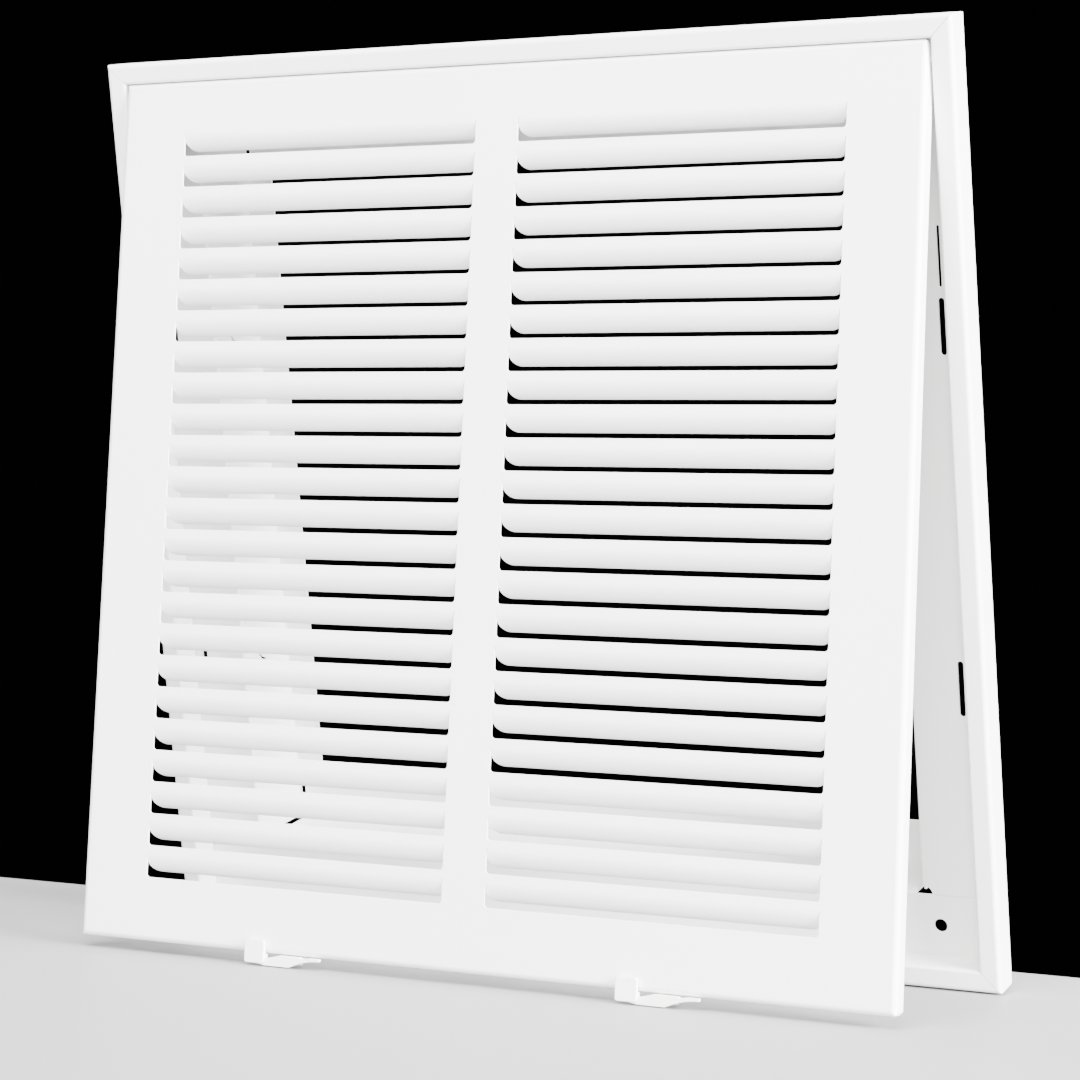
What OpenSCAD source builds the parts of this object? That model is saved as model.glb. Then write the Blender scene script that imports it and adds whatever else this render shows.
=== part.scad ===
// Return air filter grille: a wall frame of four roll-formed steel rails, and a louvred
// door that swings on two pins at the top and is held shut by two sliding latches.
// X runs to the right, Y into the wall and Z up. The origin is the centre of the four
// screw holes, on the wall plane.

/* [Frame] */
// Outer width of the frame
frame_w = 368; // [300:1:480]
// Outer height of the frame
frame_h = 368; // [300:1:480]
// Thickness of the frame's sheet steel
rail_t = 0.8; // [0.6:0.1:1]
// Width of the raised rim, seen from the front
rim_w = 8.5; // [8:0.1:12]
// Height of the rim in front of the wall
rim_d = 13; // [12.5:0.5:18]
// Outer radius of the fold along the rim's outer edge
rim_r = 1.8; // [1.3:0.1:2.4]
// Outer radius of the other folds
fold_r = 1.2; // [1.2:0.1:1.6]
// Width of the recessed flange that the screws clamp
flange_w = 24.5; // [20:0.5:32]
// Open line left between two rails at a corner
rail_gap = 0.12; // [0.05:0.01:0.3]

/* [Collar] */
// How far the collar reaches into the duct behind the wall plane
collar_d = 34.5; // [30:0.5:45]
// Width of the lip behind the filter, at the top and the sides
lip_w = 13; // [10:0.5:22]
// Width of the lip behind the filter, at the bottom
lip_bottom_w = 18; // [10:0.5:28]
// Radius of the open relief at each corner of the collar
relief_r = 3.4; // [2:0.1:4]
// Distance of the lanced filter tabs from the middle
tab_pos = 69; // [40:1:90]
// Radius of a lanced filter tab
tab_r = 6; // [4:0.5:8]
// Width of the cut round a filter tab
tab_cut = 0.9; // [0.6:0.1:1.5]
// Distance from the wall plane to a filter tab's centre
tab_y = 16; // [12:0.5:20]

/* [Screw holes and slots] */
// Diameter of a screw hole
screw_d = 5.2; // [3.5:0.1:6]
// Distance of the screw holes from the frame's left and right edges
screw_side = 27; // [16:0.5:60]
// Distance of the screw holes from the frame's upper and lower edges
screw_edge = 21; // [16:0.5:24]
// Length of a slot in the side flanges
slot_len = 21.5; // [10:0.5:30]
// Width of a slot in the side flanges
slot_w = 2.4; // [1.5:0.1:4]
// Length of the thin lance above the upper slot
lance_len = 23; // [10:0.5:30]
// Width of that lance
lance_w = 1.2; // [0.8:0.1:2]
// Distance of slots and lance from the side step wall
slot_edge = 5.2; // [4:0.1:10]
// Distance between the upper slot's end and the lance
slot_step = 4; // [3:0.5:12]

/* [Door] */
// Thickness of the door's sheet steel
door_t = 0.8; // [0.6:0.1:1.0]
// Gap between the door and the rim, at the top and the sides
door_gap = 0.9; // [0.8:0.1:1.6]
// Gap between the door and the rim at the bottom, where the latches cross it
latch_gap = 1.5; // [1.4:0.1:2.5]
// How far the shut door stands in front of the rim
door_proud = 1.6; // [1.5:0.1:1.9]
// Depth of the door's folded edge
return_d = 7; // [6:0.5:9]
// Outer radius of the door's folded edge
door_r = 2.2; // [1.9:0.1:2.4]
// Radius of the door's corners, seen from the front
corner_r = 2; // [1.5:0.1:5]
// Width of the open cut in each corner of the folded edge
corner_cut = 0.8; // [0.4:0.1:1.5]
// Angle at which the door stands open
open_angle = 14.5; // [0:0.5:80]

/* [Louvres] */
// Distance from one louvre to the next
pitch = 12.7; // [11:0.1:16]
// Width of the plain bar between the two columns
bar_w = 18.4; // [12:0.1:30]
// Plain width beside the columns
side_w = 30.2; // [20:0.1:60]
// Plain height above the first louvre
head_h = 18.5; // [16:0.1:40]
// Least plain height below the last louvre
foot_h = 20; // [18:0.5:40]
// Flat strip that carries each louvre
strip_h = 3.2; // [2.4:0.1:4]
// Height of the blade, seen from the front
blade_h = 7.2; // [6:0.1:7.6]
// How far the blade's lower edge is pushed behind the face
blade_d = 4.5; // [3:0.1:6]
// Radius of the blade's lower corners
blade_corner_r = 4.2; // [2:0.1:5]
// Radius of the lower corners of the window that the blade is cut from
window_corner_r = 1.4; // [0.8:0.1:2]
// Cut between a blade's end and its window
kerf = 0.2; // [0.1:0.05:0.4]

/* [Hinge] */
// Diameter of a hinge pin
pin_d = 2.5; // [2:0.1:2.8]
// Radial clearance of a pin in the door's ear
pin_play = 0.05; // [0.03:0.01:0.1]
// Radial clearance of a pin in the rail it is riveted into
rivet_play = 0.02; // [0.01:0.01:0.05]
// Depth of the pin's axis behind the door's face
pin_back = 4.8; // [4.7:0.1:5.1]
// Distance of the pin's axis below the door's top
pin_down = 7; // [6:0.1:8]
// Radius of the door's hinge ear round the pin
ear_r = 3.6; // [3:0.1:4]
// Radius of a pin's heads
head_r = 2; // [1.8:0.1:2.2]
// Thickness of a pin's heads
head_t = 1; // [0.6:0.1:1.4]
// Gap between a pin's inner head and the door
head_gap = 0.3; // [0.2:0.05:0.5]

/* [Latches] */
// Distance of the left latch's shank from the middle of the door
latch_left_pos = 75; // [50:1:100]
// Distance of the right latch's shank from the middle of the door
latch_right_pos = 86; // [50:1:100]
// Overall length of a latch
latch_len = 33; // [30:0.5:40]
// Distance of the shank's middle from the latch's left end
shank_off = 19.8; // [18:0.1:22]
// Height of the finger strip below the door's edge
finger_h = 4.2; // [3.5:0.1:5.5]
// Height of the finger strip at its thin end
finger_end_h = 1; // [0.8:0.1:2]
// Height of the open gap between door and finger strip beside the lug
sight_h = 1.6; // [1:0.1:2]
// Length over which that gap closes
sight_len = 6.6; // [5:0.1:8]
// Depth of the shallow notch in the strip's top beyond the shank
notch_h = 0.5; // [0.2:0.1:0.7]
// Width of the thumb lug
lug_w = 8.6; // [6:0.1:9]
// Radius of the thumb lug's corners
lug_r = 1; // [0.5:0.1:2]
// How far the thumb lug reaches up over the door's face
lug_up = 5; // [3:0.1:8]
// How far the thumb lug reaches down below the door's edge
lug_down = 3.4; // [2.5:0.1:5]
// Thickness of the thumb lug in front of the face
lug_t = 1.8; // [1.2:0.1:3]
// Travel of a latch from unlocked to locked
latch_travel = 6; // [4:0.5:8]
// Width of the shank through the door's edge, along X
shank_w = 8; // [6:0.5:10]
// Depth of the shank, along Y
shank_d = 2.2; // [1.6:0.1:2.4]
// Thickness of the shank's head above the door's fold
shank_head_t = 1.2; // [0.8:0.1:1.6]
// Width of the tongue that hooks behind the rim
tongue_w = 5; // [4:0.5:6]
// Reach of the tongue below the step wall's sheet
tongue_reach = 1.5; // [1:0.1:3]
// Clearance between a latch and the sheet it slides on
latch_play = 0.3; // [0.2:0.05:0.4]

/* [Hidden] */
$fn = 48;
// Flats along each quarter turn of a sheet fold
bend_steps = 6;
// Flats along a louvre blade's curve
blade_steps = 8;
// Small overlap that lets cuts run past a face
past = 1;
// Colours of the powder coat and of the moulded latches
coat = [0.93, 0.93, 0.92];
moulded = [0.96, 0.96, 0.95];
bright = [0.75, 0.75, 0.76];
// Distance of the collar's outer face from the frame's outer edge
collar_u = rim_w + flange_w;
// Outline of the opening that the door lies in
opening_w = frame_w - 2 * rim_w;
opening_h = frame_h - 2 * rim_w;
door_w = opening_w - 2 * door_gap;
door_h = opening_h - door_gap - latch_gap;
// Middle of the shut door, above the frame's middle
door_z = (latch_gap - door_gap) / 2;
// Louvres: rows that fit the door's height, and the length that its width leaves
rows = floor((door_h - head_h - foot_h) / pitch);
louvre_len = (door_w - bar_w) / 2 - side_w;
// Front face of the rim and of the shut door
rim_y = -rim_d;
face_y = rim_y - door_proud;
// Hinge axis
pin_y = face_y + pin_back;
pin_z = door_z + door_h / 2 - pin_down;
pin_r = pin_d / 2;
// Radius of a louvre blade, which leaves the face at a tangent
blade_angle = 2 * atan(blade_d / blade_h);
blade_R = blade_h / sin(blade_angle);
column_x = (bar_w + louvre_len) / 2;
// Underside of the door and top of the bottom rail's step wall
door_bottom = door_z - door_h / 2;
step_z = -opening_h / 2;
// Places of the two latches' shanks along X
latch_x = [-latch_left_pos, latch_right_pos];
// Steps along the curved lower edge of a finger strip
curve_steps = 8;
// Middle of the latch's shank, behind the door's face
shank_y = face_y + (door_r + return_d) / 2;
// Flat web of a latch between the door's edge and the step wall
web_top = door_bottom - latch_play;
web_t = latch_gap - 2 * latch_play;
// Finger strip of a latch, in front of the rim
finger_front = face_y - latch_play - lug_t;
finger_back = rim_y - latch_play;
tongue_bottom = step_z - rail_t - tongue_reach;
screw_x = frame_w / 2 - screw_side;
screw_z = frame_h / 2 - screw_edge;
// Middle of the thin lance, above the upper slot
lance_pos = tab_pos + (slot_len + lance_len) / 2 + slot_step;

function unit(v) = v / norm(v);
function left_of(v) = [-v[1], v[0]];
function bend_side(a, b) = sign(a[0] * b[1] - a[1] * b[0]);

// One side of a folded sheet: the path's points, the outer radius of each fold, the
// sheet's thickness, and which side of the middle line (1 or -1).
function sheet_side(path, radii, t, side) =
    let (first = unit(path[1] - path[0]),
         n = len(path),
         last = unit(path[n - 1] - path[n - 2]),
         off = side * t / 2)
    [path[0] + off * left_of(first),
     for (i = [1 : n - 2])
         let (a = unit(path[i] - path[i - 1]),
              b = unit(path[i + 1] - path[i]),
              s = bend_side(a, b),
              r = radii[i - 1] - t / 2,
              c = path[i] - r * a + s * r * left_of(a))
         for (k = [0 : bend_steps])
             let (q = 90 * k / bend_steps)
             c + (r - s * off) * (sin(q) * a - s * cos(q) * left_of(a)),
     path[n - 1] + off * left_of(last)];

function reversed(list) = [for (i = [len(list) - 1 : -1 : 0]) list[i]];

function folded_sheet(path, radii, t) =
    concat(sheet_side(path, radii, t, 1), reversed(sheet_side(path, radii, t, -1)));

// Section of a rail: outer return, rim, step wall, flange, collar and lip.
// The first coordinate runs inwards from the frame's edge, the second into the wall.
function rail_section(lip) =
    folded_sheet([[rail_t / 2, rim_d],
                  [rail_t / 2, rail_t / 2],
                  [rim_w - rail_t / 2, rail_t / 2],
                  [rim_w - rail_t / 2, rim_d - rail_t / 2],
                  [collar_u + rail_t / 2, rim_d - rail_t / 2],
                  [collar_u + rail_t / 2, rim_d + collar_d - rail_t / 2],
                  [collar_u + lip, rim_d + collar_d - rail_t / 2]],
                 [rim_r, fold_r, fold_r, fold_r, fold_r], rail_t);

// Front outline of one end of a rail, from the frame's edge inwards: mitred at the rim,
// then square steps. ends lists the half lengths of the flange, the collar and the lip.
function rail_outline(half, ends, lip) =
    let (g = rail_gap,
         side = [[0, half - g], [rim_w, half - rim_w - g], [rim_w, ends[0]],
                 [collar_u, ends[0]], [collar_u, ends[1]], [collar_u + fold_r, ends[1]],
                 [collar_u + fold_r, ends[2]], [collar_u + lip + past, ends[2]]])
    concat(side, [for (p = reversed(side)) [p[0], -p[1]]]);

// A rail along Z at the frame's left edge, with its ends cut to the outline
module rail(length, ends, lip) {
    intersection() {
        linear_extrude(length, center = true) polygon(rail_section(lip));
        translate([0, rim_d + collar_d + past, 0]) rotate([90, 0, 0])
            linear_extrude(rim_d + collar_d + 2 * past)
                polygon(rail_outline(length / 2, ends, lip));
    }
}

// A stadium-shaped slot along Z, cut through along Y
module slot_y(length, width) {
    rotate([90, 0, 0]) linear_extrude(2 * past + rail_t, center = true) {
        square([width, length - width], center = true);
        for (s = [-1, 1]) translate([0, s * (length - width) / 2]) circle(d = width);
    }
}

// The curved cut round a lanced filter tab, through the collar along X
module tab_cut_x() {
    rotate([0, 90, 0]) linear_extrude(2 * past + rail_t, center = true)
        difference() {
            circle(r = tab_r);
            circle(r = tab_r - tab_cut);
            translate([-tab_r - past, 0]) square([2 * (tab_r + past), tab_r + past]);
        }
}

// A side rail at the frame's left edge, which butts between the top and bottom rails
module side_rail() {
    flange_end = frame_h / 2 - collar_u - rail_gap;
    collar_end = flange_end - fold_r;
    difference() {
        translate([-frame_w / 2, rim_y, 0])
            rail(frame_h, [flange_end, collar_end, collar_end], lip_w);
        lip_corners();
        for (s = [-1, 1]) {
            translate([-opening_w / 2 + slot_edge, -rail_t / 2, s * tab_pos])
                slot_y(slot_len, slot_w);
            translate([-frame_w / 2 + collar_u + rail_t / 2, tab_y, s * tab_pos]) tab_cut_x();
            translate([-frame_w / 2 + collar_u, 0, s * (frame_h / 2 - collar_u)])
                rotate([90, 0, 0])
                    cylinder(r = relief_r, h = 2 * (rail_t + past), center = true);
        }
        translate([-opening_w / 2 + slot_edge, -rail_t / 2, lance_pos])
            slot_y(lance_len, lance_w);
        translate([-opening_w / 2, pin_y, pin_z]) rotate([0, 90, 0])
            cylinder(r = pin_r + rivet_play, h = 2 * (rail_t + past), center = true);
    }
}

// Room at both ends of a side lip for the lips of the top and bottom rails
module lip_corners() {
    lip_u = -frame_w / 2 + collar_u + fold_r;
    for (end = [[1, lip_w], [-1, lip_bottom_w]]) {
        reach = end[1] + rail_gap;
        translate([lip_u, collar_d - rail_t - past,
                   end[0] * (frame_h / 2 - collar_u - reach / 2) - reach / 2])
            cube([lip_w + past, rail_t + 2 * past, reach]);
    }
}

// A top or bottom rail, laid at the frame's bottom edge, whose flange runs under the
// whole width between the side rails' step walls
module cross_rail(lip) {
    flange_end = opening_w / 2 - rail_gap;
    collar_end = frame_w / 2 - collar_u - relief_r;
    difference() {
        translate([0, rim_y, -frame_h / 2]) rotate([0, -90, 0])
            rail(frame_w, [flange_end, collar_end, collar_end], lip);
        for (s = [-1, 1])
            translate([s * screw_x, 0, -screw_z]) rotate([90, 0, 0])
                cylinder(d = screw_d, h = 2 * (rail_t + past), center = true);
        for (s = [-1 : 1])
            translate([s * tab_pos, tab_y, -frame_h / 2 + collar_u + rail_t / 2])
                rotate([0, 90, 0]) tab_cut_x();
    }
}

// Keeper of one latch in the bottom rail: a mouth through the rim, and a slot in the
// step wall that runs on behind the rim for the latch's travel
module keeper(x) {
    deep = rail_t + tongue_reach + 2 * latch_play;
    translate([x - tongue_w / 2 - latch_play, rim_y - past, step_z - deep])
        cube([tongue_w + 2 * latch_play, shank_y + shank_d / 2 + latch_play - rim_y + past,
              deep + past]);
    translate([x - tongue_w / 2 - latch_play, shank_y - shank_d / 2 - latch_play,
               step_z - deep])
        cube([tongue_w + latch_travel + 2 * latch_play, shank_d + 2 * latch_play,
              deep + past]);
}

module frame_top_rail() {
    color(coat) mirror([0, 0, 1]) cross_rail(lip_w);
}

module frame_bottom_rail() {
    color(coat) difference() {
        cross_rail(lip_bottom_w);
        for (x = latch_x) keeper(x);
    }
}

module frame_left_rail() {
    color(coat) side_rail();
}

module frame_right_rail() {
    color(coat) mirror([1, 0, 0]) side_rail();
}

// A riveted pin at the left: its outer head lies inside the rail, its shank crosses the
// gap and the door's ear, and its inner head keeps the door in place
module hinge_pin() {
    ear_in = -door_w / 2 + door_t;
    inner = ear_in + head_gap + head_t;
    outer = -opening_w / 2 - rail_t - head_t;
    translate([0, pin_y, pin_z]) rotate([0, 90, 0]) {
        translate([0, 0, outer]) cylinder(r = pin_r, h = inner - outer);
        translate([0, 0, outer]) cylinder(r = head_r, h = head_t);
        translate([0, 0, inner - head_t]) cylinder(r = head_r, h = head_t);
    }
}

module hinge_pin_left() {
    color(bright) hinge_pin();
}

module hinge_pin_right() {
    color(bright) mirror([1, 0, 0]) hinge_pin();
}

// A rectangle round the middle with its corners rounded
module round_rect(w, h, r) {
    square([w - 2 * r, h], center = true);
    square([w, h - 2 * r], center = true);
    for (x = [-1, 1], y = [-1, 1]) translate([x * (w / 2 - r), y * (h / 2 - r)]) circle(r);
}

// Section of a block whose front edges are rounded: width across, and depth behind
module round_front(w, d, r) {
    translate([-w / 2, r]) square([w, d - r]);
    translate([-w / 2 + r, 0]) square([w - 2 * r, d]);
    for (s = [-1, 1]) translate([s * (w / 2 - r), r]) circle(r);
}

// A block with folds along its four front edges and rounded corners
module tray_block(w, h, d, r, corner) {
    intersection() {
        linear_extrude(h, center = true) round_front(w, d, r);
        rotate([0, 90, 0]) linear_extrude(w, center = true) round_front(h, d, r);
        translate([0, d + past, 0]) rotate([90, 0, 0]) linear_extrude(d + 2 * past)
            round_rect(w, h, corner);
    }
}

// Front outline of the cut round one blade: square at the strip, rounded at the bottom
module window(length, height, r) {
    translate([-length / 2, -height + r]) square([length, height - r]);
    translate([-length / 2 + r, -height]) square([length - 2 * r, height]);
    for (s = [-1, 1]) translate([s * (length / 2 - r), -height + r]) circle(r);
}

// Height of the top of a row, from the middle of the door
function row_z(i) = door_h / 2 - head_h - i * pitch;

// Section of one row's blade, as Y behind the face and Z below the row's top
function blade_section() =
    let (top = -strip_h)
    concat([[0, top + past]],
           [for (k = [0 : blade_steps])
               let (q = blade_angle * k / blade_steps)
               [blade_R * (1 - cos(q)), top - blade_R * sin(q)]],
           [for (k = [blade_steps : -1 : 0])
               let (q = blade_angle * k / blade_steps)
               [blade_R - (blade_R - door_t) * cos(q), top - (blade_R - door_t) * sin(q)]],
           [[door_t, top + past]]);

// All blades of one column, with their ends cut free and their corners rounded
module blades() {
    intersection() {
        rotate([90, 0, 90]) linear_extrude(louvre_len, center = true)
            for (i = [0 : rows - 1]) translate([0, row_z(i)]) polygon(blade_section());
        translate([0, blade_d + past, 0]) rotate([90, 0, 0])
            linear_extrude(blade_d + 2 * past)
                for (i = [0 : rows - 1]) translate([0, row_z(i) - strip_h + past])
                    window(louvre_len - 2 * kerf, blade_h + past, blade_corner_r);
    }
}

// The shut door with its front face at Y = 0 and its middle at the origin
module door_sheet() {
    depth = door_t + 2 * past;
    difference() {
        union() {
            difference() {
                tray_block(door_w, door_h, return_d, door_r, corner_r);
                translate([0, door_t, 0])
                    tray_block(door_w - 2 * door_t, door_h - 2 * door_t, return_d,
                               door_r - door_t, corner_r - door_t);
            }
            for (s = [-1, 1]) hinge_ear(s);
        }
        translate([0, door_t + past, 0]) rotate([90, 0, 0]) linear_extrude(depth)
            for (s = [-1, 1], i = [0 : rows - 1])
                translate([s * column_x, row_z(i) - strip_h])
                    window(louvre_len, pitch - strip_h, window_corner_r);
        for (x = [-1, 1], z = [-1, 1])
            translate([x * (door_w / 2 - corner_r / 2), 0, z * (door_h / 2 - corner_r / 2)])
                rotate([0, -x * z * 45, 0])
                    translate([-corner_r, door_r + door_t, -corner_cut / 2])
                        cube([2 * corner_r, return_d, corner_cut]);
        translate([0, pin_back, door_h / 2 - pin_down]) rotate([0, 90, 0])
            cylinder(r = pin_r + pin_play, h = door_w + past, center = true);
        for (x = latch_x) shank_slot(x);
    }
    for (s = [-1, 1]) translate([s * column_x, 0, 0]) blades();
}

// A rounded ear that deepens a side fold round the hinge pin
module hinge_ear(side) {
    translate([side * (door_w - door_t) / 2, pin_back, door_h / 2 - pin_down])
        rotate([0, 90, 0]) cylinder(r = ear_r, h = door_t, center = true);
}

// The slot in the door's bottom fold that a latch's shank slides in
module shank_slot(x) {
    translate([x - shank_w / 2 - latch_play, shank_y - face_y - shank_d / 2 - latch_play,
               -door_h / 2 - past])
        cube([shank_w + latch_travel + 2 * latch_play, shank_d + 2 * latch_play,
              door_t + 2 * past]);
}

// Turns what is drawn for the shut door to the angle at which it stands open
module opened() {
    translate([0, pin_y, pin_z]) rotate([-open_angle, 0, 0]) translate([0, -pin_y, -pin_z])
        children();
}

module door_panel() {
    color(coat) opened() translate([0, face_y, door_z]) door_sheet();
}

// Front outline of the finger strip, with the shank's middle at X = 0: its top leaves a
// gap beside the lug, its lower edge bellies out and then thins towards the right end
module finger_outline() {
    lug_right = lug_w - shank_off;
    end = latch_len - shank_off;
    contact = lug_right + sight_len;
    belly = finger_h - finger_end_h;
    polygon([[lug_right - lug_w / 2, -lug_down],
             [lug_right - lug_w / 2, -sight_h],
             [lug_right, -sight_h],
             [contact, 0],
             [-contact, 0],
             [-contact + 2 * notch_h, -notch_h],
             [-contact + 8 * notch_h, 0],
             [end, 0],
             for (k = [0 : curve_steps])
                 let (t = k / curve_steps)
                 [end * (1 - t), -finger_end_h - belly * t * t],
             [lug_right, -finger_h]]);
}

// Front outline of the thumb lug, from its lower edge up over the door's face
module lug_outline() {
    height = lug_down + latch_play + lug_up;
    translate([lug_w / 2 - shank_off, height / 2 - lug_down]) round_rect(lug_w, height, lug_r);
}

// One moulded latch on the shut door, with its shank's middle at X = 0
module latch() {
    finger_t = finger_back - finger_front;
    head_z = door_bottom + door_t + latch_play;
    translate([0, finger_back, web_top]) rotate([90, 0, 0]) {
        linear_extrude(finger_t - lug_t / 2) finger_outline();
        translate([0, 0, finger_t - lug_t]) linear_extrude(lug_t) lug_outline();
        linear_extrude(finger_t) intersection() {
            lug_outline();
            translate([-shank_off, -finger_h]) square([lug_w, finger_h]);
        }
    }
    translate([-shank_w / 2, finger_back - past, web_top - web_t])
        cube([shank_w, shank_y + shank_d / 2 - finger_back + past, web_t]);
    translate([-shank_w / 2, shank_y - shank_d / 2, web_top - web_t])
        cube([shank_w, shank_d, head_z - web_top + web_t + past / 2]);
    translate([-tongue_w / 2, shank_y - shank_d / 2, tongue_bottom])
        cube([tongue_w, shank_d, web_top - tongue_bottom]);
    translate([-shank_w / 2, shank_y - shank_d, head_z])
        cube([shank_w, 2 * shank_d, shank_head_t]);
}

module latch_left() {
    color(moulded) opened() translate([latch_x[0], 0, 0]) latch();
}

module latch_right() {
    color(moulded) opened() translate([latch_x[1], 0, 0]) latch();
}

frame_top_rail();
frame_bottom_rail();
frame_left_rail();
frame_right_rail();
hinge_pin_left();
hinge_pin_right();
door_panel();
latch_left();
latch_right();
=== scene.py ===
# %% [markdown]
# A return air filter grille in Blender. The real object is bent and stamped from white
# coated sheet steel: a frame of four rails, and a louvred door that hangs open on two
# pins. Its shapes could be modelled again here, but the packed model already holds them
# as solids, at their real size and place. So this script changes no shape: it adds a
# camera, lamps and a table top, and gives each solid its finish.

# %% Load the packed model
import math

import bpy
from mathutils import Matrix, Vector


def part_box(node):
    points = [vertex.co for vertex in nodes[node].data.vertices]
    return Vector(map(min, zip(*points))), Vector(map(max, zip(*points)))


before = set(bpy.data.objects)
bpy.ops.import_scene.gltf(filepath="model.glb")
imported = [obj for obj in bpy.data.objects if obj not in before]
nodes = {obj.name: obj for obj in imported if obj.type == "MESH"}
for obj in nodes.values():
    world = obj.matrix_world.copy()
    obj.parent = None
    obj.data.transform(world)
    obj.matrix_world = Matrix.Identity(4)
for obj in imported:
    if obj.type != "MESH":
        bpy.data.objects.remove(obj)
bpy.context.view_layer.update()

MM = 0.001
print("solids:", ", ".join(sorted(nodes)))

# %% [markdown]
# The photograph was taken with a long lens, from the right of the grille and a little
# above its middle. The grille stood on a table like an easel: the foot of the frame and
# the latches under the door both touch the table, so the frame leans back. The model
# could be tilted to match, but its place is fixed: it stays upright, as it hangs on a
# wall, and the camera rises and rolls instead. Its angles are in degrees. The shift moves
# the picture over the lens, in parts of the picture's width.

# %% Camera at the photograph's angle
LENS_MM = 95.20
LENS_SHIFT = (-0.0324, -0.1204)
CAMERA_TURN = 26.77
CAMERA_RISE = 8.54
CAMERA_ROLL = -4.12
CAMERA_DISTANCE = 1116.1 * MM
AIM = Vector((22.1, -13.0, 39.4)) * MM


def turned_camera(turn, rise, roll, distance, aim):
    """A camera that looks at a point from a turn to the right and a rise, in degrees."""
    around = math.radians(turn)
    above = math.radians(rise)
    back = Vector((math.sin(around) * math.cos(above),
                   -math.cos(around) * math.cos(above),
                   math.sin(above)))
    data = bpy.data.cameras.new("photo_camera")
    data.lens = LENS_MM
    data.shift_x = LENS_SHIFT[0]
    data.shift_y = LENS_SHIFT[1]
    camera = bpy.data.objects.new("photo_camera", data)
    bpy.context.scene.collection.objects.link(camera)
    look = (-back).to_track_quat("-Z", "Y").to_matrix().to_4x4()
    spin = Matrix.Rotation(math.radians(roll), 4, "Z")
    camera.matrix_world = Matrix.Translation(aim + back * distance) @ look @ spin
    return camera


camera = turned_camera(CAMERA_TURN, CAMERA_RISE, CAMERA_ROLL, CAMERA_DISTANCE, AIM)
bpy.context.scene.camera = camera
print("camera at", [round(v, 3) for v in camera.matrix_world.translation], "m")

# %% [markdown]
# A white object needs soft light with a direction, or its folds vanish. A bright world
# would light every side alike, and would show through the slits between the louvres,
# which are black in the photograph. So the room is dark, and large area lamps do the
# work: a strong key from the right, which makes the rim's outer side the brightest face,
# a fill from the left front, one from the right front that reaches into the bay beside
# the open door, one from above, and a weak one for the back.

# %% Lamps and dark room
MIDDLE = (0, 0, 0)
LAMPS = {
    "key_lamp": {"place": (2.6, -0.35, 0.9), "aim": MIDDLE, "size": 1.4, "watts": 900},
    "fill_lamp": {"place": (-1.2, -2.2, 0.9), "aim": MIDDLE, "size": 2.0, "watts": 84},
    "bay_lamp": {"place": (0.9, -2.4, 0.8), "aim": (0.1, 0, 0), "size": 1.2, "watts": 90},
    "top_lamp": {"place": (0.2, -0.6, 2.0), "aim": MIDDLE, "size": 1.6, "watts": 220},
    "back_lamp": {"place": (-0.6, 2.0, 0.8), "aim": MIDDLE, "size": 1.6, "watts": 60},
}
ROOM_COLOUR = (0.001, 0.001, 0.001, 1)


def area_lamp(name, place, aim, size, watts):
    """A square soft lamp that looks at a point; lengths are in metres."""
    data = bpy.data.lights.new(name, "AREA")
    data.size = size
    data.energy = watts
    lamp = bpy.data.objects.new(name, data)
    bpy.context.scene.collection.objects.link(lamp)
    lamp.location = place
    lamp.rotation_euler = (Vector(aim) - Vector(place)).to_track_quat("-Z", "Y").to_euler()


def plain_room(colour):
    """A world of one colour."""
    world = bpy.data.worlds.new("studio")
    world.use_nodes = True
    world.node_tree.nodes["Background"].inputs["Color"].default_value = colour
    bpy.context.scene.world = world


for lamp_name, lamp_facts in LAMPS.items():
    area_lamp(lamp_name, **lamp_facts)
plain_room(ROOM_COLOUR)
print("lamps in watts:", {name: facts["watts"] for name, facts in LAMPS.items()})

# %% [markdown]
# A material in Blender is a graph of nodes. Its maths could be drawn node by node, but a
# formula is easier to read. The class below wraps one output socket, so that the
# expression 0.3 + noise * 0.1 adds its two Math nodes by itself. Only the two operators
# that the finishes need are there.

# %% Shader maths as Python expressions
class Wire:
    """An output socket that can be added and multiplied, from either side."""

    def __init__(self, graph, socket):
        self.graph = graph
        self.socket = socket

    def _math(self, operation, other):
        return self.graph.add("ShaderNodeMath", {"operation": operation}, [self, other])

    def __add__(self, other):
        return self._math("ADD", other)

    __radd__ = __add__

    def __mul__(self, other):
        return self._math("MULTIPLY", other)

    __rmul__ = __mul__


OPERATORS = [name for name in vars(Wire) if "add" in name or "mul" in name]
print("a wire knows:", ", ".join(OPERATORS))

# %% [markdown]
# Everything that isn't maths comes from one method, add, which sets a node's options and
# then its inputs. The other methods are the few words that the finishes share: noise for
# anything cloudy or grainy, bump for relief too fine to model, tint for a colour between
# two others, and soft_edge. The solids have sharp edges, as CAD makes them. Rounding
# those in the mesh would cost many faces, so a Bevel node rounds only the shading.

# %% The node tree of a finish
EDGE_RADIUS = 0.3 * MM
EDGE_SAMPLES = 4


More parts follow.
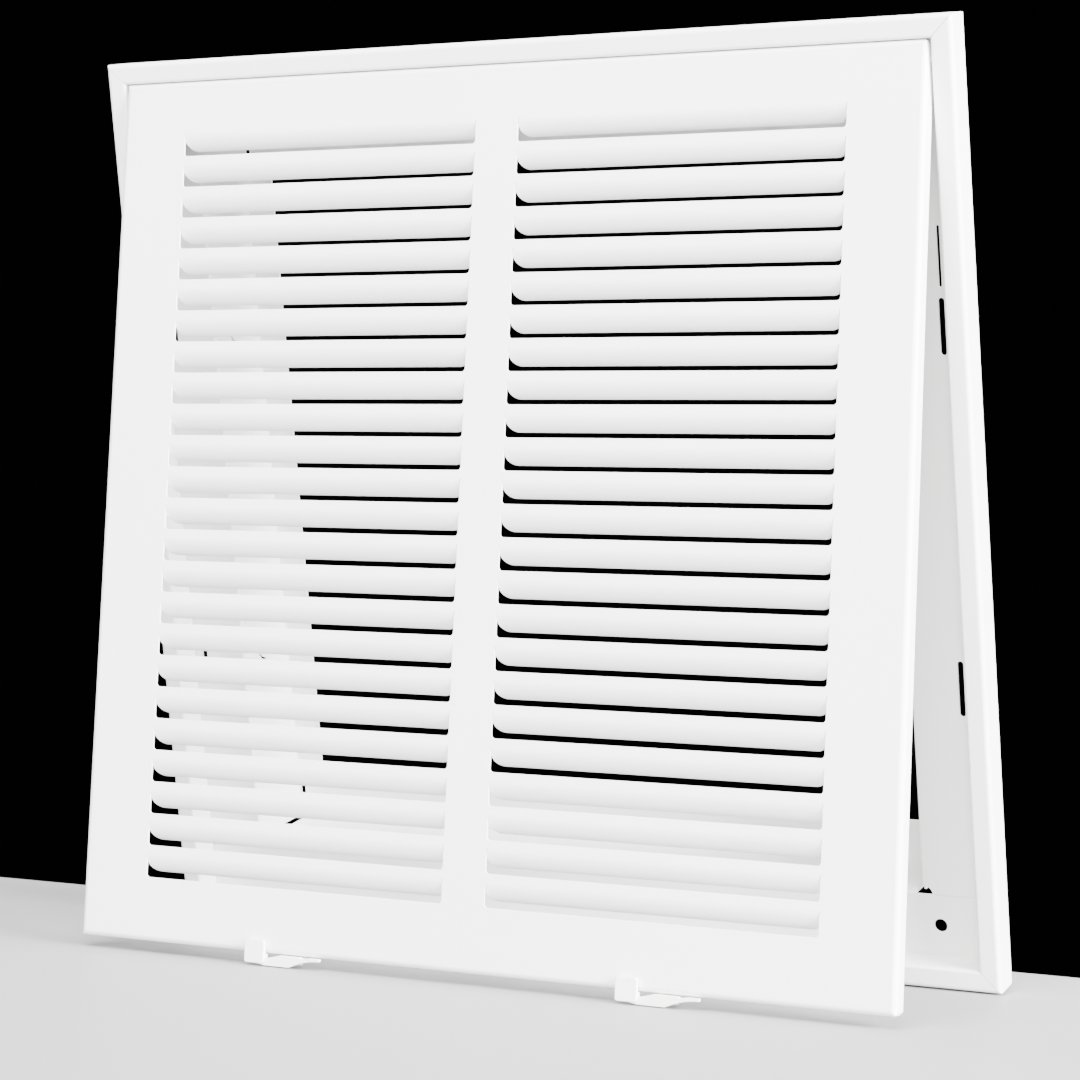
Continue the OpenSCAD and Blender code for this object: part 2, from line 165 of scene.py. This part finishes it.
class Graph:
    """The node tree of one new material."""

    def __init__(self, name):
        self.material = bpy.data.materials.new(name)
        self.material.use_nodes = True
        self.tree = self.material.node_tree
        self.shader = self.tree.nodes["Principled BSDF"]

    def add(self, kind, settings=None, inputs=None, output=0):
        """Adds a node. Settings come first; inputs is a list, or a dict by name."""
        node = self.tree.nodes.new(kind)
        for key, value in (settings or {}).items():
            setattr(node, key, value)
        pairs = inputs.items() if isinstance(inputs, dict) else enumerate(inputs or [])
        for key, value in pairs:
            self.feed(node.inputs[key], value)
        return Wire(self, node.outputs[output])

    def feed(self, socket, value):
        """Links a wire to a socket, or writes a plain value on it."""
        if isinstance(value, Wire):
            self.tree.links.new(value.socket, socket)
        else:
            socket.default_value = value

    def set(self, **values):
        """Sets sockets of the Principled shader; Base_Color means Base Color."""
        for key, value in values.items():
            self.feed(self.shader.inputs[key.replace("_", " ")], value)

    def place(self):
        """Where a point lies on the object, which doesn't change as the object moves."""
        return self.add("ShaderNodeTexCoord", output="Object")

    def noise(self, size, detail=2.0, roughness=0.5):
        """Smooth noise from 0 to 1, whose blobs are about size metres across."""
        return self.add("ShaderNodeTexNoise", {}, {"Vector": self.place(),
                        "Scale": 1 / size, "Detail": detail, "Roughness": roughness})

    def bump(self, height, depth, below=None):
        """A normal from a height field, depth metres from black to white."""
        inputs = {"Height": height, "Distance": depth, "Strength": 1.0}
        if below is not None:
            inputs["Normal"] = below
        return self.add("ShaderNodeBump", {}, inputs)

    def tint(self, factor, dark, light):
        """A colour between two others."""
        return self.add("ShaderNodeMix", {"data_type": "RGBA"},
                        {0: factor, 6: (*dark, 1), 7: (*light, 1)}, output=2)

    def soft_edge(self):
        """A normal that turns smoothly round the solid's edges."""
        return self.add("ShaderNodeBevel", {"samples": EDGE_SAMPLES}, {"Radius": EDGE_RADIUS})


METHODS = [name for name in vars(Graph) if not name.startswith("_")]
print("a graph knows:", ", ".join(METHODS))

# %% [markdown]
# Powder coat is plastic dust that is baked onto the steel. It flows into a skin that is
# smooth but not flat: broad, very shallow waves called orange peel, with a fine tooth on
# top. Modelled waves would need millions of faces for a height of a hundredth of a
# millimetre, so both are noises of different size in the bump. The gloss varies a little
# with the waves, and a third, much broader noise lets the white drift a little from place
# to place. The door's waves are a little shallower than the rails'.

# %% White powder coat
COAT_WHITE = (0.86, 0.86, 0.85)
COAT_SHADE = (0.82, 0.82, 0.812)
COAT_ROUGHNESS = 0.34
COAT_WAVE_ROUGHNESS = 0.10
COAT_DRIFT_ROUGHNESS = 0.05
COAT_IOR = 1.5
CLEAR_WEIGHT = 0.12
CLEAR_ROUGHNESS = 0.25
PEEL_SIZE = 1.6 * MM
RAIL_PEEL_DEPTH = 0.010 * MM
DOOR_PEEL_DEPTH = 0.008 * MM
TOOTH_SIZE = 0.25 * MM
TOOTH_DEPTH = 0.0015 * MM
DRIFT_SIZE = 60 * MM


def powder_coat(name, peel_depth):
    """White satin powder coat on sheet steel."""
    g = Graph(name)
    waves = g.noise(PEEL_SIZE, detail=1.0)
    tooth = g.noise(TOOTH_SIZE)
    drift = g.noise(DRIFT_SIZE)
    peeled = g.bump(waves, peel_depth, below=g.soft_edge())
    g.set(Base_Color=g.tint(drift, COAT_SHADE, COAT_WHITE),
          Roughness=COAT_ROUGHNESS + COAT_WAVE_ROUGHNESS * waves + COAT_DRIFT_ROUGHNESS * drift,
          Normal=g.bump(tooth, TOOTH_DEPTH, below=peeled),
          Coat_Weight=CLEAR_WEIGHT)
    g.shader.inputs["Coat Roughness"].default_value = CLEAR_ROUGHNESS
    g.shader.inputs["IOR"].default_value = COAT_IOR
    return g.material


rail_coat = powder_coat("rail_powder_coat", RAIL_PEEL_DEPTH)
door_coat = powder_coat("door_powder_coat", DOOR_PEEL_DEPTH)
print("powder coat nodes:", len(rail_coat.node_tree.nodes))

# %% [markdown]
# The latches are moulded, not coated: a slightly warmer and denser white, with the fine
# even spark texture of the mould and a softer shine. The powder coat's material with a
# finer grain would nearly do, but a little light enters plastic and comes out again
# beside the point where it went in. Subsurface scattering does that, so the latches have
# a material of their own.

# %% Moulded white plastic
PLASTIC_WHITE = (0.88, 0.88, 0.86)
PLASTIC_SHADE = (0.84, 0.84, 0.82)
PLASTIC_ROUGHNESS = 0.42
SPARK_ROUGHNESS = 0.12
SPARK_SIZE = 0.35 * MM
SPARK_DEPTH = 0.006 * MM
FLOW_SIZE = 9 * MM
SCATTER_WEIGHT = 0.15
SCATTER_DEPTH = 1.5 * MM


def moulded_plastic(name):
    """White acetal with a fine spark-eroded texture."""
    g = Graph(name)
    spark = g.noise(SPARK_SIZE, detail=3.0, roughness=0.6)
    flow = g.noise(FLOW_SIZE, detail=1.0)
    g.set(Base_Color=g.tint(flow, PLASTIC_SHADE, PLASTIC_WHITE),
          Roughness=PLASTIC_ROUGHNESS + SPARK_ROUGHNESS * spark,
          Normal=g.bump(spark, SPARK_DEPTH, below=g.soft_edge()))
    g.shader.inputs["Subsurface Weight"].default_value = SCATTER_WEIGHT
    g.shader.inputs["Subsurface Scale"].default_value = SCATTER_DEPTH
    return g.material


latch_plastic = moulded_plastic("latch_moulded_plastic")
print("plastic nodes:", len(latch_plastic.node_tree.nodes))

# %% [markdown]
# The hinge pins are turned steel, plated with zinc. Turning leaves fine rings round the
# pin's axis. The axis runs along X here, so the rings are stripes of X, and a Wave
# texture gives them without any unwrapping. The plating itself is cloudy, in its colour
# and in its gloss.

# %% Zinc plated pins
ZINC_BRIGHT = (0.68, 0.69, 0.70)
ZINC_DULL = (0.55, 0.56, 0.58)
ZINC_ROUGHNESS = 0.28
CLOUD_ROUGHNESS = 0.16
CLOUD_SIZE = 1.2 * MM
RING_SCALE = 900.0
RING_WOBBLE = 0.6
RING_DEPTH = 0.004 * MM


def zinc_plate(name):
    """Bright zinc on a turned steel pin, with fine rings along X."""
    g = Graph(name)
    rings = g.add("ShaderNodeTexWave", {"bands_direction": "X"},
                  {"Vector": g.place(), "Scale": RING_SCALE, "Distortion": RING_WOBBLE})
    cloud = g.noise(CLOUD_SIZE, detail=3.0)
    g.set(Base_Color=g.tint(cloud, ZINC_DULL, ZINC_BRIGHT),
          Metallic=1.0,
          Roughness=ZINC_ROUGHNESS + CLOUD_ROUGHNESS * cloud,
          Normal=g.bump(rings, RING_DEPTH))
    return g.material


pin_zinc = zinc_plate("pin_zinc_plate")
print("zinc nodes:", len(pin_zinc.node_tree.nodes))

# %% [markdown]
# Each solid keeps its own shape and only gets its finish. The finishes could be set one
# by one, but a table of solid and finish shows at a glance that none is left out.

# %% Give every solid its finish
FINISHES = {
    "frame_top_rail": rail_coat,
    "frame_bottom_rail": rail_coat,
    "frame_left_rail": rail_coat,
    "frame_right_rail": rail_coat,
    "door_panel": door_coat,
    "latch_left": latch_plastic,
    "latch_right": latch_plastic,
    "hinge_pin_left": pin_zinc,
    "hinge_pin_right": pin_zinc,
}


def dress(node, material):
    """Makes a material the only one of a solid."""
    mesh = nodes[node].data
    mesh.materials.clear()
    mesh.materials.append(material)


for node, material in FINISHES.items():
    dress(node, material)
print("dressed:", len(FINISHES), "of", len(nodes))

# %% [markdown]
# The floor is a plain pale table top. It leans as the table did under the grille, so that
# the foot of the frame and the latches both touch it. A large sheet all round would show
# through the slits, where the photograph is black, so it ends just behind the collar. It
# is stage, not a piece of the object.

# %% Table top
TABLE_SIDE = 1.5
TABLE_FRONT = 1.5
TABLE_BEHIND = 42 * MM
CLEAR = 0.3 * MM
TABLE_GREY = (0.24, 0.24, 0.245, 1)
TABLE_ROUGHNESS = 0.6


def table_top():
    """A flat sheet under the foot of the frame and under the latches."""
    rail_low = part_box("frame_bottom_rail")[0]
    latch_low, latch_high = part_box("latch_left")
    frame_foot = Vector((0, rail_low.y, rail_low.z))
    lean = math.atan2(latch_low.z - frame_foot.z,
                      frame_foot.y - (latch_low.y + latch_high.y) / 2)
    back = TABLE_BEHIND - frame_foot.y
    corners = [(-TABLE_SIDE, -TABLE_FRONT, 0), (TABLE_SIDE, -TABLE_FRONT, 0),
               (TABLE_SIDE, back, 0), (-TABLE_SIDE, back, 0)]
    mesh = bpy.data.meshes.new("table_top")
    mesh.from_pydata(corners, [], [(0, 1, 2, 3)])
    sheet = bpy.data.objects.new("table_top", mesh)
    bpy.context.scene.collection.objects.link(sheet)
    sheet.location = frame_foot - Vector((0, 0, CLEAR))
    sheet.rotation_euler = (-lean, 0, 0)
    print("table leans", round(math.degrees(lean), 2), "degrees")
    return sheet


floor = table_top()
paper = Graph("table_paper")
paper.set(Base_Color=TABLE_GREY, Roughness=TABLE_ROUGHNESS)
floor.data.materials.append(paper.material)

# %% [markdown]
# A finish adds no size.
